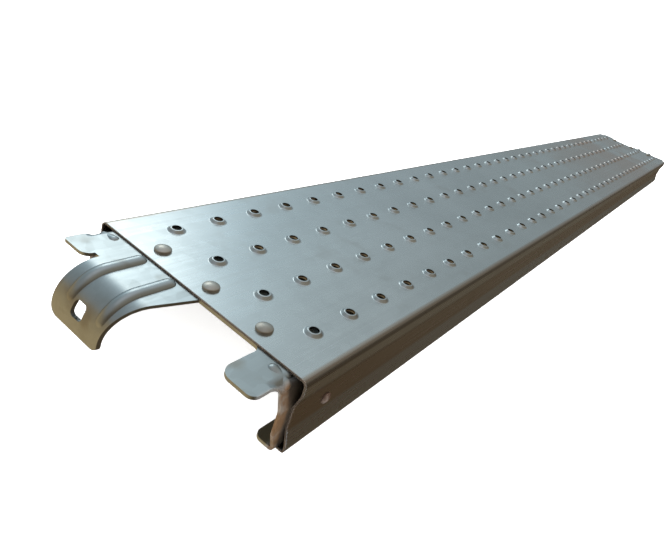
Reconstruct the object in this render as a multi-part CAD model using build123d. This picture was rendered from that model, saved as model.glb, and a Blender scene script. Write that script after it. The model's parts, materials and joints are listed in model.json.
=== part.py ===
"""Steel scaffold plank: a folded, pierced deck on a pressed hook bracket at each end.

Row frame, millimetres: X runs along the plank, Y across it, +Z is up.  The origin is under the
middle of the plank, on the plane that the plank's bottom lips rest on.
"""
import os
from math import atan2, cos, degrees, radians, sin, tan
from build123d import *

# Deck sheet
DECK_LENGTH = 1829.0
DECK_HALF_WIDTH = 117.0
DECK_DEPTH = 69.0
SHEET = 1.5
CREASE_Y = DECK_HALF_WIDTH - 4.0      # outer face of the side wall's sunken middle band
LIP_EDGE_Y = 97.0            # free edge of the deck's inward bottom lip

# Pierced, raised holes in the deck
HOLE_PITCH = 46.9
HOLE_COLUMNS = 38
HOLE_ROW_SPACING = 54.5
HOLE_ROWS = 4
HOLE_RADIUS = 4.0
DIMPLE_HEIGHT = 2.6
DIMPLE_FLANGE_RADIUS = 9.5   # the dimple blends into the flat deck inside this radius

# End bracket, in the end frame: X = 0 at the deck's end and -X outwards, Z = 0 at the deck's top
PLATE = 3.0
PLATE_TOP = -SHEET
PLATE_UNDER = PLATE_TOP - PLATE
FLANGE_Y = CREASE_Y - SHEET           # the flanges bear on the walls' sunken bands
FLANGE_BEND = 8.0
FLANGE_SHOULDER_Y = 104.7    # where the top plate and the sloping shoulder would meet unbent
FLANGE_SHOULDER_Z = -26.0
FLANGE_BEND_ANGLE = degrees(atan2(PLATE_TOP - FLANGE_SHOULDER_Z, FLANGE_Y - FLANGE_SHOULDER_Y))
FLANGE_BEND_Y = FLANGE_SHOULDER_Y - FLANGE_BEND * tan(radians(FLANGE_BEND_ANGLE / 2))
FLANGE_FRONT_X = -11.5
FLANGE_END_X = 62.0
BRACKET_LIP_Y = 91.5
BRACKET_LIP_FRONT_X = -6.5
TAB_FRONT_X = -38.5
TAB_OUTER_Y = 105.5
TAB_CURL_X = -22.0           # from here the tab's outer edge curls down into the flange
LEFT_TAB_INNER_Y = 78.0
RIGHT_TAB_INNER_Y = -72.0
NOTCH_BOTTOM_X = -30.0

# Hook
HOOK_LEFT_Y = 72.0
HOOK_BEND_X = -33.0
HOOK_RADIUS = 31.5           # outer radius of the hook's bend
HOOK_BOTTOM_Z = -41.0
HOOK_TAPER = Plane(origin=(0, -6.85, 0), z_dir=(0.294, 1, 0.097))
RIB_YS = (56.0, 20.5)
RIB_START_X = -7.5
RIB_RADIUS = 6.9
RIB_SINK = 3.4               # depth of the rib's centre line under the plate's top
RIB_BEND = 24.5              # tighter than the plate's bend, so that the rib fades out
RIB_SWEEP = 66.0             # degrees of the bend that a rib runs round

# Rivets
SHANK_RADIUS = 3.2
RIVET_PLAY = 0.02
DECK_RIVET_X = 16.3
DECK_RIVET_YS = (59.0, 0.0, -59.0)
SIDE_RIVET_X = 42.0
SIDE_RIVET_Z = -40.0

# Cross stiffeners under the deck
STIFFENER_HALF_WEB = 14.0
STIFFENER_FOOT = 10.0
STIFFENER_XS = (-10 * HOLE_PITCH, 0.0, 10 * HOLE_PITCH)
WELD_LENGTH = 11.0


def bent_face(plane, points, radii, thickness):
    """Section of a bent sheet.  The points are its outer line, with the metal on their right."""
    with BuildSketch(plane) as section:
        with BuildLine():
            with BuildLine() as line:
                Polyline(*points)
                for point, radius in zip(points[1:-1], radii):
                    corner = line.vertices().sort_by_distance(Vector(*point))[0]
                    fillet(corner, radius)
            offset(line.line, amount=thickness, side=Side.RIGHT, closed=True)
        make_face()
    return section.sketch


def across(face, y_low, y_high):
    """Extrude a face drawn on the XZ plane from y_low to y_high."""
    return Location((0, y_high, 0)) * extrude(face, amount=y_high - y_low)


def along(face, x_low, x_high):
    """Extrude a face drawn on the YZ plane from x_low to x_high."""
    return Location((x_low, 0, 0)) * extrude(face, amount=x_high - x_low)


def dimple():
    """Raised collar round one pierced hole, with Z = 0 at the deck's top."""
    with BuildSketch(Plane.XZ) as section:
        with BuildLine():
            Polyline(
                (DIMPLE_FLANGE_RADIUS, -SHEET),
                (DIMPLE_FLANGE_RADIUS, 0),
                (7.7, 0),
                (5.3, DIMPLE_HEIGHT),
                (HOLE_RADIUS, DIMPLE_HEIGHT),
                (HOLE_RADIUS, DIMPLE_HEIGHT - 1.2),
                (6.5, -SHEET),
                close=True,
            )
        make_face()
        foot = section.vertices().sort_by_distance(Vector(7.7, 0))[0]
        fillet(foot, 1.6)
        crest = section.vertices().sort_by_distance(Vector(5.3, DIMPLE_HEIGHT))[0]
        fillet(crest, 0.9)
    return revolve(section.sketch, axis=Axis.Z)


def deck_sheet():
    """The folded deck: pierced top, creased side walls and inward bottom lips."""
    right_half = [
        (DECK_HALF_WIDTH, 0),
        (DECK_HALF_WIDTH, -14),
        (CREASE_Y, -26),
        (CREASE_Y, -46),
        (DECK_HALF_WIDTH, -62),
        (DECK_HALF_WIDTH, -DECK_DEPTH),
        (LIP_EDGE_Y, -DECK_DEPTH),
    ]
    left_half = [(-y, z) for y, z in reversed(right_half)]
    bends = [5.0, 9.0, 9.0, 9.0, 5.0, 2.6]
    section = bent_face(Plane.YZ, left_half + right_half, bends[::-1] + bends, SHEET)
    sheet = along(section, -DECK_LENGTH / 2, DECK_LENGTH / 2)

    spots = GridLocations(HOLE_PITCH, HOLE_ROW_SPACING, HOLE_COLUMNS, HOLE_ROWS).locations
    blank = Cylinder(DIMPLE_FLANGE_RADIUS, 10)
    sheet = sheet - [spot * blank for spot in spots]
    collar = dimple()
    sheet = sheet + [spot * collar for spot in spots]

    drill = Cylinder(SHANK_RADIUS + RIVET_PLAY, 20)
    side_drill = Rot(90, 0, 0) * drill
    drills = []
    for end in (1, -1):
        x = end * (DECK_RIVET_X - DECK_LENGTH / 2)
        drills += [Pos(x, end * y, 0) * drill for y in DECK_RIVET_YS]
        x = end * (SIDE_RIVET_X - DECK_LENGTH / 2)
        drills += [Pos(x, side * DECK_HALF_WIDTH, SIDE_RIVET_Z) * side_drill for side in (1, -1)]
    return Pos(0, 0, DECK_DEPTH) * (sheet - drills)


def tab(inner_y, outer_y, inner_radius, outer_radius):
    """Plan view of one tab with its two front corners rounded."""
    face = Pos(TAB_FRONT_X / 2, (inner_y + outer_y) / 2) * Rectangle(-TAB_FRONT_X, abs(outer_y - inner_y))
    for y, radius in ((inner_y, inner_radius), (outer_y, outer_radius)):
        corner = face.vertices().sort_by_distance(Vector(TAB_FRONT_X, y))[0]
        face = fillet(corner, radius)
    return face


def tab_plan():
    """Plan view of the two tabs, and of the bridge from the left one to the hook's root."""
    bridge_y = (HOOK_LEFT_Y + LEFT_TAB_INNER_Y) / 2
    bridge = Pos(NOTCH_BOTTOM_X / 2, bridge_y) * Rectangle(-NOTCH_BOTTOM_X, 10)
    left_tab = tab(LEFT_TAB_INNER_Y, TAB_OUTER_Y, 8, 3)
    right_tab = tab(RIGHT_TAB_INNER_Y, -TAB_OUTER_Y, 11, 7)
    return left_tab + bridge + right_tab


def capsule(start, end, radius):
    """Round-ended bar between two points, the shape that presses a rib or gusset."""
    bar = Plane(origin=(start + end) * 0.5, z_dir=end - start) * Cylinder(radius, (end - start).length)
    return bar + Pos(start) * Sphere(radius) + Pos(end) * Sphere(radius)


def curl_section(x, angle, flat):
    """Outer strip of the top plate at one X: bent down through an angle, then flat for a length."""
    arc = FLANGE_BEND * radians(angle)

    def spot(distance, depth):
        turn = min(distance, arc) / FLANGE_BEND
        beyond = max(distance - arc, 0)
        radius = FLANGE_BEND - depth
        y = FLANGE_BEND_Y + radius * sin(turn) + beyond * cos(turn)
        z = PLATE_TOP - FLANGE_BEND + radius * cos(turn) - beyond * sin(turn)
        return (y, z)

    distances = [(arc + flat) * step / 6 for step in range(7)]
    top = [spot(distance, 0) for distance in distances]
    under = [spot(distance, PLATE) for distance in distances]
    with BuildSketch(Plane.YZ.offset(x)) as section:
        with BuildLine():
            Spline(*top)
            Line(top[-1], under[-1])
            Spline(*reversed(under))
            Line(under[0], top[0])
        make_face()
    return section.sketch


def bracket_channel():
    """Bracket without its hook: top plate, tabs, side flanges and inward lips."""
    lip_z = -DECK_DEPTH + SHEET
    right_half = [
        (FLANGE_SHOULDER_Y, PLATE_TOP),
        (FLANGE_Y, FLANGE_SHOULDER_Z),
        (FLANGE_Y, lip_z),
        (BRACKET_LIP_Y, lip_z),
    ]
    left_half = [(-y, z) for y, z in reversed(right_half)]
    bends = [FLANGE_BEND, 12.0, 4.5]
    section = bent_face(Plane.YZ, left_half + right_half, bends[::-1] + bends, PLATE)
    channel = along(section, FLANGE_FRONT_X, FLANGE_END_X)

    # Between the tabs the plate stops at the deck's end.
    gap = Pos(0, 0, PLATE_TOP) * Box(-2 * FLANGE_FRONT_X, -2 * RIGHT_TAB_INNER_Y, 4 * PLATE)
    channel = channel - Pos(FLANGE_FRONT_X, 0, 0) * gap

    # Below its straight part the flange's front edge slopes back to the shorter lip.
    with BuildSketch(Plane.XZ) as heel:
        with BuildLine():
            Polyline(
                (FLANGE_FRONT_X - 1, -48),
                (FLANGE_FRONT_X, -48),
                (BRACKET_LIP_FRONT_X, lip_z + PLATE + 1),
                (BRACKET_LIP_FRONT_X, lip_z - 1),
                (FLANGE_FRONT_X - 1, lip_z - 1),
                close=True,
            )
        make_face()
    channel = channel - across(heel.sketch, -150, 150)

    # In front, the tabs are flat, and their outer edges curl down into the flanges.
    steps = (
        (TAB_CURL_X, 0, TAB_OUTER_Y - FLANGE_BEND_Y),
        (-17.0, 20, 5.4),
        (-13.6, 50, 4.3),
        (FLANGE_FRONT_X, FLANGE_BEND_ANGLE, 5.0),
    )
    curl = loft([curl_section(*step) for step in steps])
    flat_zone = Pos(-30, 0) * Rectangle(60, 2 * FLANGE_BEND_Y)
    flat_zone += Pos(TAB_CURL_X - 30, 0) * Rectangle(60, 300)
    tabs = Pos(0, 0, PLATE_UNDER) * extrude(tab_plan() & flat_zone, amount=PLATE)
    return channel + tabs + curl + mirror(curl, Plane.XZ)


def channel_inside():
    """The space inside the bracket's channel section."""
    lip_z = -DECK_DEPTH + SHEET
    with BuildSketch(Plane.YZ) as section:
        with BuildLine():
            Polyline(
                (FLANGE_SHOULDER_Y, PLATE_TOP),
                (FLANGE_Y, FLANGE_SHOULDER_Z),
                (FLANGE_Y, lip_z),
                (-FLANGE_Y, lip_z),
                (-FLANGE_Y, FLANGE_SHOULDER_Z),
                (-FLANGE_SHOULDER_Y, PLATE_TOP),
                close=True,
            )
        make_face()
        fillet(section.vertices().sort_by(Axis.Z)[-2:], FLANGE_BEND)
        offset(amount=-PLATE, mode=Mode.REPLACE)
    return along(section.sketch, TAB_FRONT_X, FLANGE_END_X)


def hook_blank():
    """The hook before its ribs: a flat root, a quarter bend and a short nose."""
    nose_x = HOOK_BEND_X - HOOK_RADIUS
    outer = [(nose_x, HOOK_BOTTOM_Z), (nose_x, PLATE_TOP), (5, PLATE_TOP)]
    strip = across(bent_face(Plane.XZ, outer, [HOOK_RADIUS], PLATE), -30, HOOK_LEFT_Y)
    hook = split(strip, bisect_by=HOOK_TAPER, keep=Keep.TOP)
    low = hook.edges().filter_by(lambda e: e.length < 4 and e.center().Z < HOOK_BOTTOM_Z + 0.1)
    return fillet(low, 7)


def rib_core(radius, y):
    """Round-ended bar along the hook's bend, the shape that presses a rib into the plate."""
    depth = PLATE_TOP - RIB_SINK
    start = Vector(RIB_START_X, y, depth)
    turn = Vector(HOOK_BEND_X, y, depth)
    centre = Vector(HOOK_BEND_X, y, depth - RIB_BEND)
    stop = centre + (turn - centre).rotate(Axis.Y, -RIB_SWEEP)
    middle = centre + (turn - centre).rotate(Axis.Y, -RIB_SWEEP / 2)
    path = ThreePointArc(turn, middle, stop)
    round_part = sweep(Plane(turn, z_dir=(-1, 0, 0)) * Circle(radius), path=path)
    return capsule(start, turn, radius) + round_part + Pos(stop) * Sphere(radius)


def end_bracket():
    """One pressed bracket in the end frame."""
    body = bracket_channel() + hook_blank()

    # Ribs: pressed up on the outside, with a matching groove on the inside.
    nose_x = HOOK_BEND_X - HOOK_RADIUS
    hollow = Rectangle(80, 80, align=(Align.MIN, Align.MAX))
    hollow = fillet(hollow.vertices().sort_by(Axis.X)[:2].sort_by(Axis.Y)[-1:], HOOK_RADIUS - PLATE)
    hollow = Plane.XZ * Pos(nose_x + PLATE, PLATE_UNDER) * hollow
    for y in RIB_YS:
        rib = rib_core(RIB_RADIUS, y) - across(hollow, y - 10, y + 10)
        body = body + rib - rib_core(RIB_RADIUS - PLATE, y)

    # Short gussets pressed across the flange bends.
    inside = channel_inside()
    for side in (1, -1):
        foot = Vector(-6, side * 91, PLATE_TOP - 3.9)
        toe = Vector(-6, side * 102.5, PLATE_TOP - 6.3)
        body = body + (capsule(foot, toe, 5.5) - inside) - capsule(foot, toe, 5.5 - PLATE)

    for side in (1, -1):
        wall = Plane((SIDE_RIVET_X, side * FLANGE_Y, SIDE_RIVET_Z), z_dir=(0, side, 0))
        body = body - wall * Cylinder(SHANK_RADIUS + RIVET_PLAY, 20)

    for y in DECK_RIVET_YS:
        body = body - Pos(DECK_RIVET_X, y, 0) * Cylinder(SHANK_RADIUS + RIVET_PLAY, 20)

    slot = Plane.YZ * Pos(43, -22) * RectangleRounded(13, 12.5, 3.5)
    body = body - along(slot, nose_x - 5, nose_x + 14)

    # Rounded corners: the front inner corners of the lips, and the root of the right tab.
    lips = body.edges().filter_by(Axis.Z).filter_by(
        lambda e: abs(e.center().X - BRACKET_LIP_FRONT_X) < 0.1 and abs(abs(e.center().Y) - BRACKET_LIP_Y) < 0.1
    )
    body = fillet(lips, 7)
    root = body.edges().filter_by(Axis.Z).filter_by(
        lambda e: abs(e.center().X) < 0.1 and abs(e.center().Y - RIGHT_TAB_INNER_Y) < 0.1
    )
    return fillet(root, 5)


def button(radius, height):
    """Domed disc with a rounded rim, standing on Z = 0."""
    rise = 0.55 * height
    ball = (radius ** 2 + rise ** 2) / (2 * rise)
    disc = extrude(Circle(radius), amount=height) & Pos(0, 0, height - ball) * Sphere(ball)
    rim = disc.edges().filter_by(lambda e: e.is_closed).sort_by(Axis.Z)[-1]
    return fillet(rim, 0.4 * height)


def rivet(head_radius, head_height, grip, tail_radius, tail_height):
    """Set rivet along Z, with Z = 0 under its button head."""
    shank = Pos(0, 0, -grip) * extrude(Circle(SHANK_RADIUS), amount=grip)
    tail = Pos(0, 0, -grip) * Rot(180, 0, 0) * button(tail_radius, tail_height)
    return button(head_radius, head_height) + shank + tail


def stiffener():
    """Hat-section rib under the deck, standing on the deck's lips, with Z = 0 at the deck's top."""
    foot_z = -DECK_DEPTH + 2 * SHEET
    outer = [
        (-STIFFENER_HALF_WEB - STIFFENER_FOOT, foot_z),
        (-STIFFENER_HALF_WEB, foot_z),
        (-STIFFENER_HALF_WEB, PLATE_TOP),
        (STIFFENER_HALF_WEB, PLATE_TOP),
        (STIFFENER_HALF_WEB, foot_z),
        (STIFFENER_HALF_WEB + STIFFENER_FOOT, foot_z),
    ]
    return across(bent_face(Plane.XZ, outer, [3.0, 3.0, 3.0, 3.0], SHEET), -FLANGE_Y, FLANGE_Y)


def stiffener_welds():
    """Short fillet welds between one stiffener's feet and the deck's lips, with Z = 0 at the deck's top."""
    edge_x = STIFFENER_HALF_WEB + STIFFENER_FOOT
    lip_z = -DECK_DEPTH + SHEET
    beads = []
    for end in (1, -1):
        with BuildSketch(Plane.XZ) as section:
            with BuildLine():
                corner = (end * edge_x, lip_z)
                toe = (end * (edge_x + 2.5), lip_z)
                crown = (end * (edge_x + 1.4), lip_z + 1.1)
                top = (end * edge_x, lip_z + SHEET)
                Line(top, corner)
                Line(corner, toe)
                ThreePointArc(toe, crown, top)
            make_face()
        beads.append(across(section.sketch, LIP_EDGE_Y + 2, LIP_EDGE_Y + 2 + WELD_LENGTH))
        beads.append(across(section.sketch, -LIP_EDGE_Y - 2 - WELD_LENGTH, -LIP_EDGE_Y - 2))
    return Compound(children=beads)


def save(node, shape):
    export_step(shape, f"parts/{node}.step")


os.makedirs("parts", exist_ok=True)

save("deck_sheet", deck_sheet())

bracket = end_bracket()
deck_rivet = rivet(7.0, 4.0, SHEET + PLATE, 5.0, 2.5)
side_rivet = rivet(5.0, 2.5, SHEET + PLATE, 4.6, 1.8)
near_end = Pos(-DECK_LENGTH / 2, 0, DECK_DEPTH)

for end, to_row in (("near", near_end), ("far", Rot(0, 0, 180) * near_end)):
    save(f"end_bracket_{end}", to_row * bracket)
    for name, y in zip(("left", "centre", "right"), DECK_RIVET_YS):
        save(f"deck_rivet_{end}_{name}", to_row * Pos(DECK_RIVET_X, y, 0) * deck_rivet)
    for name, side in (("left", 1), ("right", -1)):
        outward = Plane((SIDE_RIVET_X, side * CREASE_Y, SIDE_RIVET_Z), z_dir=(0, side, 0)).location
        save(f"side_rivet_{end}_{name}", to_row * outward * side_rivet)

for name, x in zip(("near", "middle", "far"), STIFFENER_XS):
    save(f"stiffener_{name}", Pos(x, 0, DECK_DEPTH) * stiffener())
    save(f"stiffener_welds_{name}", Pos(x, 0, DECK_DEPTH) * stiffener_welds())
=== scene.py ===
"""Scaffold plank on a pale studio floor.  Everything is in metres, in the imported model's frame."""
import json
import math

import bpy
import bmesh
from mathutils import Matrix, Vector


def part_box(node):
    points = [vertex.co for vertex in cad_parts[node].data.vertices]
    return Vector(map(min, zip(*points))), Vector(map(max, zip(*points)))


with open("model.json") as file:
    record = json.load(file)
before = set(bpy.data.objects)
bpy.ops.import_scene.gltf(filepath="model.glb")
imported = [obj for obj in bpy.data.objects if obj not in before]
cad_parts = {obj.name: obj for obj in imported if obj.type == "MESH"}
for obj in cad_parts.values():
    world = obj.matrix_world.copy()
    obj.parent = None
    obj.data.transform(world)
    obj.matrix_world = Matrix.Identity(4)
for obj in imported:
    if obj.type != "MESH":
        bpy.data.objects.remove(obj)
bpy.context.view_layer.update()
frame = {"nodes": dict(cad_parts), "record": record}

HOLE_PITCH = 0.0469
HOLE_ROW_SPACING = 0.0545
HOLE_RADIUS = 0.004
PIERCED_X = 0.885          # no hole lies farther than this from the middle of the deck
DIMPLE_HEIGHT = 0.0026
SUNKEN_BAND_Y = 0.113      # outer face of the side walls' sunken middle band
DECK_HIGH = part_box("deck_sheet")[1]
DECK_TOP_Z = DECK_HIGH[2] - DIMPLE_HEIGHT
END_X = DECK_HIGH[0]
CUT_EDGE_FROM = END_X - 0.0013
CUT_EDGE_TO = END_X - 0.0002
# The deck's cut edge is painted dark: partly the edge's rust, partly painted shade of the gap at the
# deck's end.
CUT_EDGE_RUST_AND_SHADE = (0.065, 0.050, 0.038)


# ---------------------------------------------------------------- material nodes

class Graph:
    """Short hand for building the node tree of a material or of the world.

    A value is a plain number, vector or colour, or the output socket of another node.
    """

    def __init__(self, owner):
        owner.use_nodes = True
        self.owner = owner
        self.tree = owner.node_tree
        self.tree.nodes.clear()

    def add(self, kind, inputs=None, **settings):
        """New shader node.  Its inputs are given by name or by index."""
        node = self.tree.nodes.new("ShaderNode" + kind)
        for key, value in settings.items():
            setattr(node, key, value)
        for key, value in (inputs or {}).items():
            if isinstance(value, bpy.types.NodeSocket):
                self.tree.links.new(value, node.inputs[key])
            else:
                node.inputs[key].default_value = value
        return node

    def finish(self, shader, output="OutputMaterial"):
        """Wire the shader to the tree's output, and return the material or the world."""
        self.add(output, {"Surface": shader})
        return self.owner

    def principled(self, inputs):
        """Finish a material with one principled shader."""
        return self.finish(self.add("BsdfPrincipled", inputs).outputs["BSDF"])

    def split(self, vector):
        return self.add("SeparateXYZ", {0: vector}).outputs

    def position(self, stretch=(1, 1, 1)):
        """Position in the row frame, with each axis scaled by stretch."""
        place = self.add("TexCoord").outputs["Object"]
        return self.add("Mapping", {"Vector": place, "Scale": stretch}).outputs["Vector"]

    def noise(self, scale, stretch=(1, 1, 1), detail=3.0, rough=0.55):
        values = {"Vector": self.position(stretch), "Scale": scale, "Detail": detail, "Roughness": rough}
        return self.add("TexNoise", values).outputs["Fac"]

    def relief(self, height, strength, distance):
        """Bumped surface normal."""
        values = {"Height": height, "Strength": strength, "Distance": distance}
        return self.add("Bump", values).outputs["Normal"]

    def remap(self, value, low, high, to_low=0.0, to_high=1.0, straight=False):
        """Map the range low to high onto another one, held at both ends, on an S curve unless straight."""
        values = {"Value": value, "From Min": low, "From Max": high, "To Min": to_low, "To Max": to_high}
        curve = "LINEAR" if straight else "SMOOTHSTEP"
        return self.add("MapRange", values, interpolation_type=curve).outputs["Result"]

    def within(self, value, inner, outer):
        """1 where the value is under inner, fading to 0 at outer."""
        return self.remap(value, inner, outer, 1.0, 0.0)

    def math(self, operation, *values):
        return self.add("Math", dict(enumerate(values)), operation=operation).outputs[0]

    def distance(self, value):
        """Distance from zero."""
        return self.math("ABSOLUTE", value)

    def minus(self, a, b):
        return self.math("SUBTRACT", a, b)

    def plus(self, total, *others):
        for value in others:
            total = self.math("ADD", total, value)
        return total

    def times(self, product, *others):
        for value in others:
            product = self.math("MULTIPLY", product, value)
        return product

    def mix(self, amount, a, b, blend="MIX"):
        """Blend of two colours.  They are inputs 6 and 7 of a mix node, and the blend is its output 2."""
        values = {0: amount, 6: a, 7: b}
        return self.add("Mix", values, data_type="RGBA", blend_type=blend).outputs[2]


def material_graph(name):
    return Graph(bpy.data.materials.new(name))


def rgb(red, green, blue):
    return (red, green, blue, 1.0)


def grey(level):
    return rgb(level, level, level)


def hole_mask(g, axes):
    """1 inside the pierced holes.  Each hole's centre is in the middle of one cell of a grid."""
    squares = []
    for axis, pitch in (("X", HOLE_PITCH), ("Y", HOLE_ROW_SPACING)):
        cell = g.math("FRACT", g.times(axes[axis], 1 / pitch))
        off_centre = g.times(g.minus(cell, 0.5), pitch)
        squares.append(g.times(off_centre, off_centre))
    radius = g.math("SQRT", g.plus(*squares))
    inside = g.within(radius, HOLE_RADIUS + 0.0001, HOLE_RADIUS + 0.0006)
    return g.times(inside, g.within(g.distance(axes["X"]), PIERCED_X, PIERCED_X + 0.005))


def tread_dirt_and_painted_light(g, axes, colour):
    """Dust towards the deck's far end, painted shade in the holes, along the top bends and in the
    sunken band, and dark cut edges: partly rust, partly painted shade of the gap at the deck's end.

    The walls' foot is painted lighter and bluer, a painted reflection of the brighter horizon.
    """
    dust = g.times(g.remap(axes["X"], -0.30, 0.85), g.remap(g.noise(6.0), 0.38, 0.60))
    colour = g.mix(dust, colour, rgb(0.51, 0.41, 0.355))
    # Painted shade: the walls of the pierced holes are painted near black.
    colour = g.mix(hole_mask(g, axes), colour, rgb(0.07, 0.06, 0.05))

    side = g.distance(axes["Y"])
    below_top = g.minus(DECK_TOP_Z, axes["Z"])
    # Painted shade: a thin dark line painted along the top bends of the walls.
    top_bend_shade = g.times(g.remap(side, 0.1122, 0.1140), g.within(below_top, 0.0040, 0.0065))
    colour = g.mix(g.times(top_bend_shade, 0.65), colour, rgb(0.20, 0.18, 0.16))
    # Painted shade: the walls' sunken band is painted darker and browner, for the shade in the crease.
    sunken_band_shade = g.within(g.distance(g.minus(side, SUNKEN_BAND_Y)), 0.0008, 0.0034)
    colour = g.mix(g.times(sunken_band_shade, 0.8), colour, rgb(0.40, 0.33, 0.27))
    # Painted reflection: the walls' foot is painted lighter and bluer.
    foot_sheen = g.times(g.remap(side, 0.1125, 0.1140), g.within(axes["Z"], 0.018, 0.024))
    colour = g.mix(foot_sheen, colour, rgb(0.51, 0.55, 0.60))
    # The cut edges are painted dark: partly their rust, partly painted shade of the gap at the deck's end.
    cut_edge = g.remap(g.distance(axes["X"]), CUT_EDGE_FROM, CUT_EDGE_TO)
    return g.mix(cut_edge, colour, rgb(*CUT_EDGE_RUST_AND_SHADE))


def gap_painted_shade(g, axes, colour):
    """Painted shade: the bracket's flanges are painted black where they lie in the narrow gap at the
    deck's end.
    """
    gap = g.within(g.distance(axes["X"]), END_X + 0.0020, END_X + 0.0070)
    gap = g.times(gap, g.remap(g.distance(axes["Y"]), 0.1035, 0.1070), 0.9)
    return g.mix(gap, colour, rgb(0.030, 0.024, 0.018))


def spangle_crystals(g):
    """A random value for each zinc crystal, with the crystals' borders a little wavy."""
    place = g.position()
    waves = g.add("TexNoise", {"Vector": place, "Scale": 60.0, "Detail": 2.0}).outputs["Color"]
    shift = g.add("VectorMath", {0: waves, "Scale": 0.012}, operation="SCALE").outputs[0]
    wavy_place = g.add("VectorMath", {0: place, 1: shift}, operation="ADD").outputs[0]
    cells = g.add("TexVoronoi", {"Vector": wavy_place, "Scale": 95.0, "Randomness": 1.0})
    return g.add("SeparateColor", {0: cells.outputs["Color"]}).outputs[0]


def zinc(name, light, dark, stain, roughness, spangle, streaks, stains, bump, rust_zone, dirt_and_painted_light=None):
    """Galvanised steel: crystal spangle, rolling streaks, dull stains and fine orange peel.

    Spangle, streaks and stains say how strongly each of these shows.  The rust zone is an axis, the
    two distances from the middle between which rust sets in, and the rust's colour.  The dirt and
    painted light is one of the functions above, which paint dirt, painted shade and painted light.
    """
    g = material_graph(name)
    axes = g.split(g.position())
    crystal = spangle_crystals(g)
    clouds = g.remap(g.noise(7.0, detail=4.0), 0.35, 0.65)
    rolling = g.noise(1.0, stretch=(1.5, 240, 240), detail=4.0, rough=0.7)
    rolled = g.remap(rolling, 0.3, 0.7)
    stained = g.times(g.remap(g.noise(22.0), 0.56, 0.72), stains)
    grain = g.noise(900.0, detail=2.0)

    tone = g.plus(g.times(crystal, spangle), g.times(rolled, streaks), g.times(clouds, 0.35))
    colour = g.mix(tone, rgb(*light), rgb(*dark))
    colour = g.mix(stained, colour, rgb(*stain))

    axis, clean, rusty, rust_colour = rust_zone
    patches = g.remap(g.noise(70.0, detail=4.0), 0.30, 0.55, 0.70, 1.0)
    rust = g.times(g.remap(g.distance(axes[axis]), clean, rusty), patches)
    colour = g.mix(rust, colour, rgb(*rust_colour))
    if dirt_and_painted_light:
        colour = dirt_and_painted_light(g, axes, colour)

    rough = g.plus(g.times(crystal, 0.03), roughness, g.times(rolled, 0.06), g.times(stained, 0.22))
    height = g.plus(g.times(grain, 0.25), g.times(rolling, 0.50))
    return g.principled({
        "Base Color": colour,
        "Metallic": g.minus(1.0, g.times(rust, 0.75)),
        "Roughness": rough,
        "Normal": g.relief(height, strength=bump, distance=0.0004),
    })


def weld_bead():
    """Bare weld metal with ripples and heat tint."""
    g = material_graph("weld_bead")
    ripples = g.noise(500.0, stretch=(0.3, 1, 0.3))
    heat_tint = g.remap(g.noise(120.0), 0.4, 0.6)
    return g.principled({
        "Base Color": g.mix(heat_tint, rgb(0.20, 0.19, 0.19), rgb(0.27, 0.20, 0.13)),
        "Metallic": 0.9,
        "Roughness": 0.5,
        "Normal": g.relief(ripples, strength=0.6, distance=0.0006),
    })


FINISHES = {
    "deck_zinc": zinc(
        "deck_zinc", light=(0.61, 0.635, 0.635), dark=(0.45, 0.47, 0.47), stain=(0.36, 0.34, 0.31),
        roughness=0.24, spangle=0.13, streaks=0.12, stains=0.20, bump=0.04,
        # The deck's rust zone is its cut edge: partly rust, partly painted shade of the gap at the deck's
        # end.
        rust_zone=("X", CUT_EDGE_FROM, CUT_EDGE_TO, CUT_EDGE_RUST_AND_SHADE), dirt_and_painted_light=tread_dirt_and_painted_light,
    ),
    "bracket_zinc": zinc(
        "bracket_zinc", light=(0.50, 0.54, 0.55), dark=(0.35, 0.37, 0.365), stain=(0.31, 0.27, 0.21),
        roughness=0.28, spangle=0.26, streaks=0.12, stains=0.50, bump=0.10,
        rust_zone=("Y", 0.1035, 0.1080, (0.11, 0.062, 0.030)), dirt_and_painted_light=gap_painted_shade,
    ),
    "rivet_zinc": zinc(
        "rivet_zinc", light=(0.59, 0.55, 0.49), dark=(0.41, 0.38, 0.34), stain=(0.29, 0.24, 0.19),
        roughness=0.34, spangle=0.20, streaks=0.0, stains=0.6, bump=0.15,
        rust_zone=("Y", 0.1090, 0.1130, (0.070, 0.038, 0.026)),
    ),
    "stiffener_zinc": zinc(
        "stiffener_zinc", light=(0.50, 0.53, 0.54), dark=(0.36, 0.38, 0.39), stain=(0.26, 0.23, 0.19),
        roughness=0.42, spangle=0.30, streaks=0.3, stains=0.6, bump=0.15,
        rust_zone=("Y", 0.1080, 0.1115, (0.20, 0.12, 0.07)),
    ),
    "weld": weld_bead(),
}
for entry in frame["record"]["subparts"]:
    node = frame["nodes"][entry["node"]]
    finish = FINISHES[entry["material_slot"]]
    if not node.material_slots:
        node.data.materials.append(finish)
    for slot in node.material_slots:
        slot.material = finish


# ---------------------------------------------------------------- studio

FLOOR_RADIUS = 22.0
FLOOR_BEND = 6.0       # radius of the curve from the floor into the wall
BEND_STEPS = 12
WALL_TOP = 40.0
SPOKES = 96
FLOOR_GLOW = 0.80      # the pale floor shines a little by itself, which keeps the shadow faint


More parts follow.
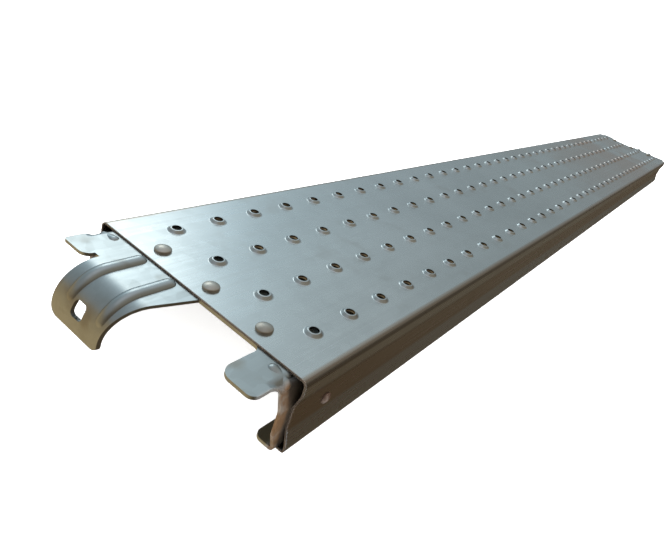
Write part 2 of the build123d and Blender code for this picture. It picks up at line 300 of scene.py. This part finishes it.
def backdrop_mesh():
    """Flat round floor that curves up into a wall on every side."""
    profile = [(FLOOR_RADIUS, 0.0)]
    for step in range(1, BEND_STEPS + 1):
        angle = math.radians(90 * step / BEND_STEPS)
        radius = FLOOR_RADIUS + FLOOR_BEND * math.sin(angle)
        profile.append((radius, FLOOR_BEND * (1 - math.cos(angle))))
    profile.append((FLOOR_RADIUS + FLOOR_BEND, WALL_TOP))

    mesh = bmesh.new()
    spokes = [math.radians(360 * spoke / SPOKES) for spoke in range(SPOKES)]
    rings = []
    for radius, z in profile:
        rings.append([mesh.verts.new((radius * math.cos(a), radius * math.sin(a), z)) for a in spokes])
    mesh.faces.new(rings[0])
    for low, high in zip(rings, rings[1:]):
        for spoke in range(SPOKES):
            after = (spoke + 1) % SPOKES
            mesh.faces.new((low[spoke], high[spoke], high[after], low[after])).smooth = True
    data = bpy.data.meshes.new("backdrop")
    mesh.to_mesh(data)
    mesh.free()
    return data


def backdrop_paint():
    """Pale glowing paint.  Under the plank it is painted dark, a painted shadow, and doesn't glow, so the
    pierced holes look dark.
    """
    g = material_graph("backdrop_paint")
    axes = g.split(g.position())
    # Painted shadow: the floor under the plank is painted near black.
    shadow_length = g.within(g.distance(axes["X"]), 0.72, 0.86)
    shadow_width = g.within(g.distance(axes["Y"]), 0.07, 0.11)
    painted_shadow = g.times(shadow_length, shadow_width)
    mottle = g.remap(g.noise(3.0, detail=2.0), 0.3, 0.7)
    colour = g.mix(painted_shadow, g.mix(mottle, grey(0.90), grey(0.93)), grey(0.04))
    return g.principled({
        "Base Color": colour,
        "Roughness": 0.9,
        "Emission Color": colour,
        "Emission Strength": g.times(g.minus(1.0, painted_shadow), FLOOR_GLOW),
    })


def sweep_backdrop():
    """Pale floor and wall all round the plank, hidden from the metal's reflections."""
    data = backdrop_mesh()
    data.materials.append(backdrop_paint())
    backdrop = bpy.data.objects.new("backdrop", data)
    backdrop.visible_glossy = False
    bpy.context.scene.collection.objects.link(backdrop)


def area_light(name, place, target, size, power):
    """Rectangular light, hidden from the metal's reflections."""
    data = bpy.data.lights.new(name, "AREA")
    data.shape = "RECTANGLE"
    data.size, data.size_y = size
    data.energy = power
    light = bpy.data.objects.new(name, data)
    light.location = place
    light.rotation_euler = (Vector(target) - Vector(place)).to_track_quat("-Z", "Y").to_euler()
    light.visible_glossy = False
    bpy.context.scene.collection.objects.link(light)


def bearing(azimuth, elevation):
    """Unit vector at an azimuth from +X towards +Y and an elevation, in degrees."""
    turn = math.radians(azimuth)
    rise = math.radians(elevation)
    return (math.cos(rise) * math.cos(turn), math.cos(rise) * math.sin(turn), math.sin(rise))


# The room round the window: the angle away from the window's middle, in degrees, and the colour there.
WINDOW_GLOW = (
    (180, (0.36, 0.37, 0.38)),
    (100, (0.34, 0.36, 0.38)),
    (60, (0.32, 0.35, 0.36)),
    (45, (0.31, 0.37, 0.39)),
    (32, (0.38, 0.46, 0.50)),
    (20, (0.48, 0.61, 0.67)),
    (13, (0.72, 0.96, 1.10)),
    (9, (2.45, 2.75, 2.80)),
    (0, (2.60, 2.75, 2.75)),
)


def studio_world():
    """Room that the metal reflects: a window on the far left, a soft lamp and a warm dark ground."""
    g = Graph(bpy.data.worlds.new("studio"))
    toward = g.add("TexCoord").outputs["Generated"]
    axes = g.split(toward)

    def facing(azimuth, elevation):
        """Cosine of the angle away from a bearing."""
        inputs = {0: toward, 1: bearing(azimuth, elevation)}
        return g.add("VectorMath", inputs, operation="DOT_PRODUCT").outputs["Value"]

    walls = g.add("ValToRGB", {"Fac": g.remap(facing(60, 33), -1.0, 1.0, straight=True)})
    elements = walls.color_ramp.elements
    while len(elements) < len(WINDOW_GLOW):
        elements.new(0.5)
    for element, (angle, colour) in zip(elements, WINDOW_GLOW):
        element.position = (math.cos(math.radians(angle)) + 1) / 2
        element.color = rgb(*colour)
    lamp = g.mix(g.remap(facing(25, 56), 0.79, 0.98), grey(0.0), rgb(0.17, 0.16, 0.14))
    upper = g.mix(1.0, walls.outputs["Color"], lamp, blend="ADD")
    ceiling = g.remap(axes["Z"], 0.70, 1.0)
    upper = g.mix(ceiling, upper, rgb(0.62, 0.66, 0.70), blend="LIGHTEN")
    right_wall = g.remap(axes["Y"], -0.40, 0.02, 0.8, 0.0)
    upper = g.mix(right_wall, upper, rgb(0.30, 0.262, 0.195))

    bright_ground = g.remap(facing(135, -25), 0.2, 0.9)
    lower = g.mix(bright_ground, rgb(0.110, 0.078, 0.046), rgb(0.57, 0.43, 0.235))
    dim_ground = g.remap(facing(0, -5), 0.60, 0.98)
    lower = g.mix(dim_ground, lower, rgb(0.138, 0.115, 0.082))
    horizon = g.remap(axes["Z"], -0.35, 0.05, 0.0, 0.35)
    lower = g.mix(horizon, lower, rgb(0.17, 0.145, 0.115))

    # The ground reaches higher on the right (-Y) and in front (-X).
    right = g.times(g.math("MINIMUM", axes["Y"], 0.0), 0.5)
    front = g.times(g.math("MINIMUM", axes["X"], 0.0), 0.4)
    height = g.plus(axes["Z"], right, front)
    colour = g.mix(g.remap(height, -0.03, 0.10), lower, upper)
    background = g.add("Background", {"Color": colour, "Strength": 1.0}).outputs[0]
    bpy.context.scene.world = g.finish(background, "OutputWorld")


def photo_camera():
    """Low three-quarter view past the near hook, with the plank running away to the right."""
    data = bpy.data.cameras.new("camera")
    data.sensor_width = 36.0
    data.lens = 30.08
    data.shift_x = -0.0663
    data.shift_y = -0.0153
    data.clip_end = 200.0
    camera = bpy.data.objects.new("camera", data)
    camera.location = (-END_X - 0.25944, -0.25777, DECK_TOP_Z + 0.25173)
    camera.rotation_euler = [math.radians(angle) for angle in (61.677, -18.543, -55.084)]
    bpy.context.scene.collection.objects.link(camera)
    bpy.context.scene.camera = camera


sweep_backdrop()
studio_world()
photo_camera()
area_light("key_left", place=(0.6, 3.2, 2.4), target=(-0.6, 0, 0), size=(2.6, 1.6), power=90)
area_light("fill_top", place=(-0.4, -0.8, 3.5), target=(0, 0, 0), size=(3.5, 3.5), power=70)
bpy.context.scene.view_settings.view_transform = "Standard"
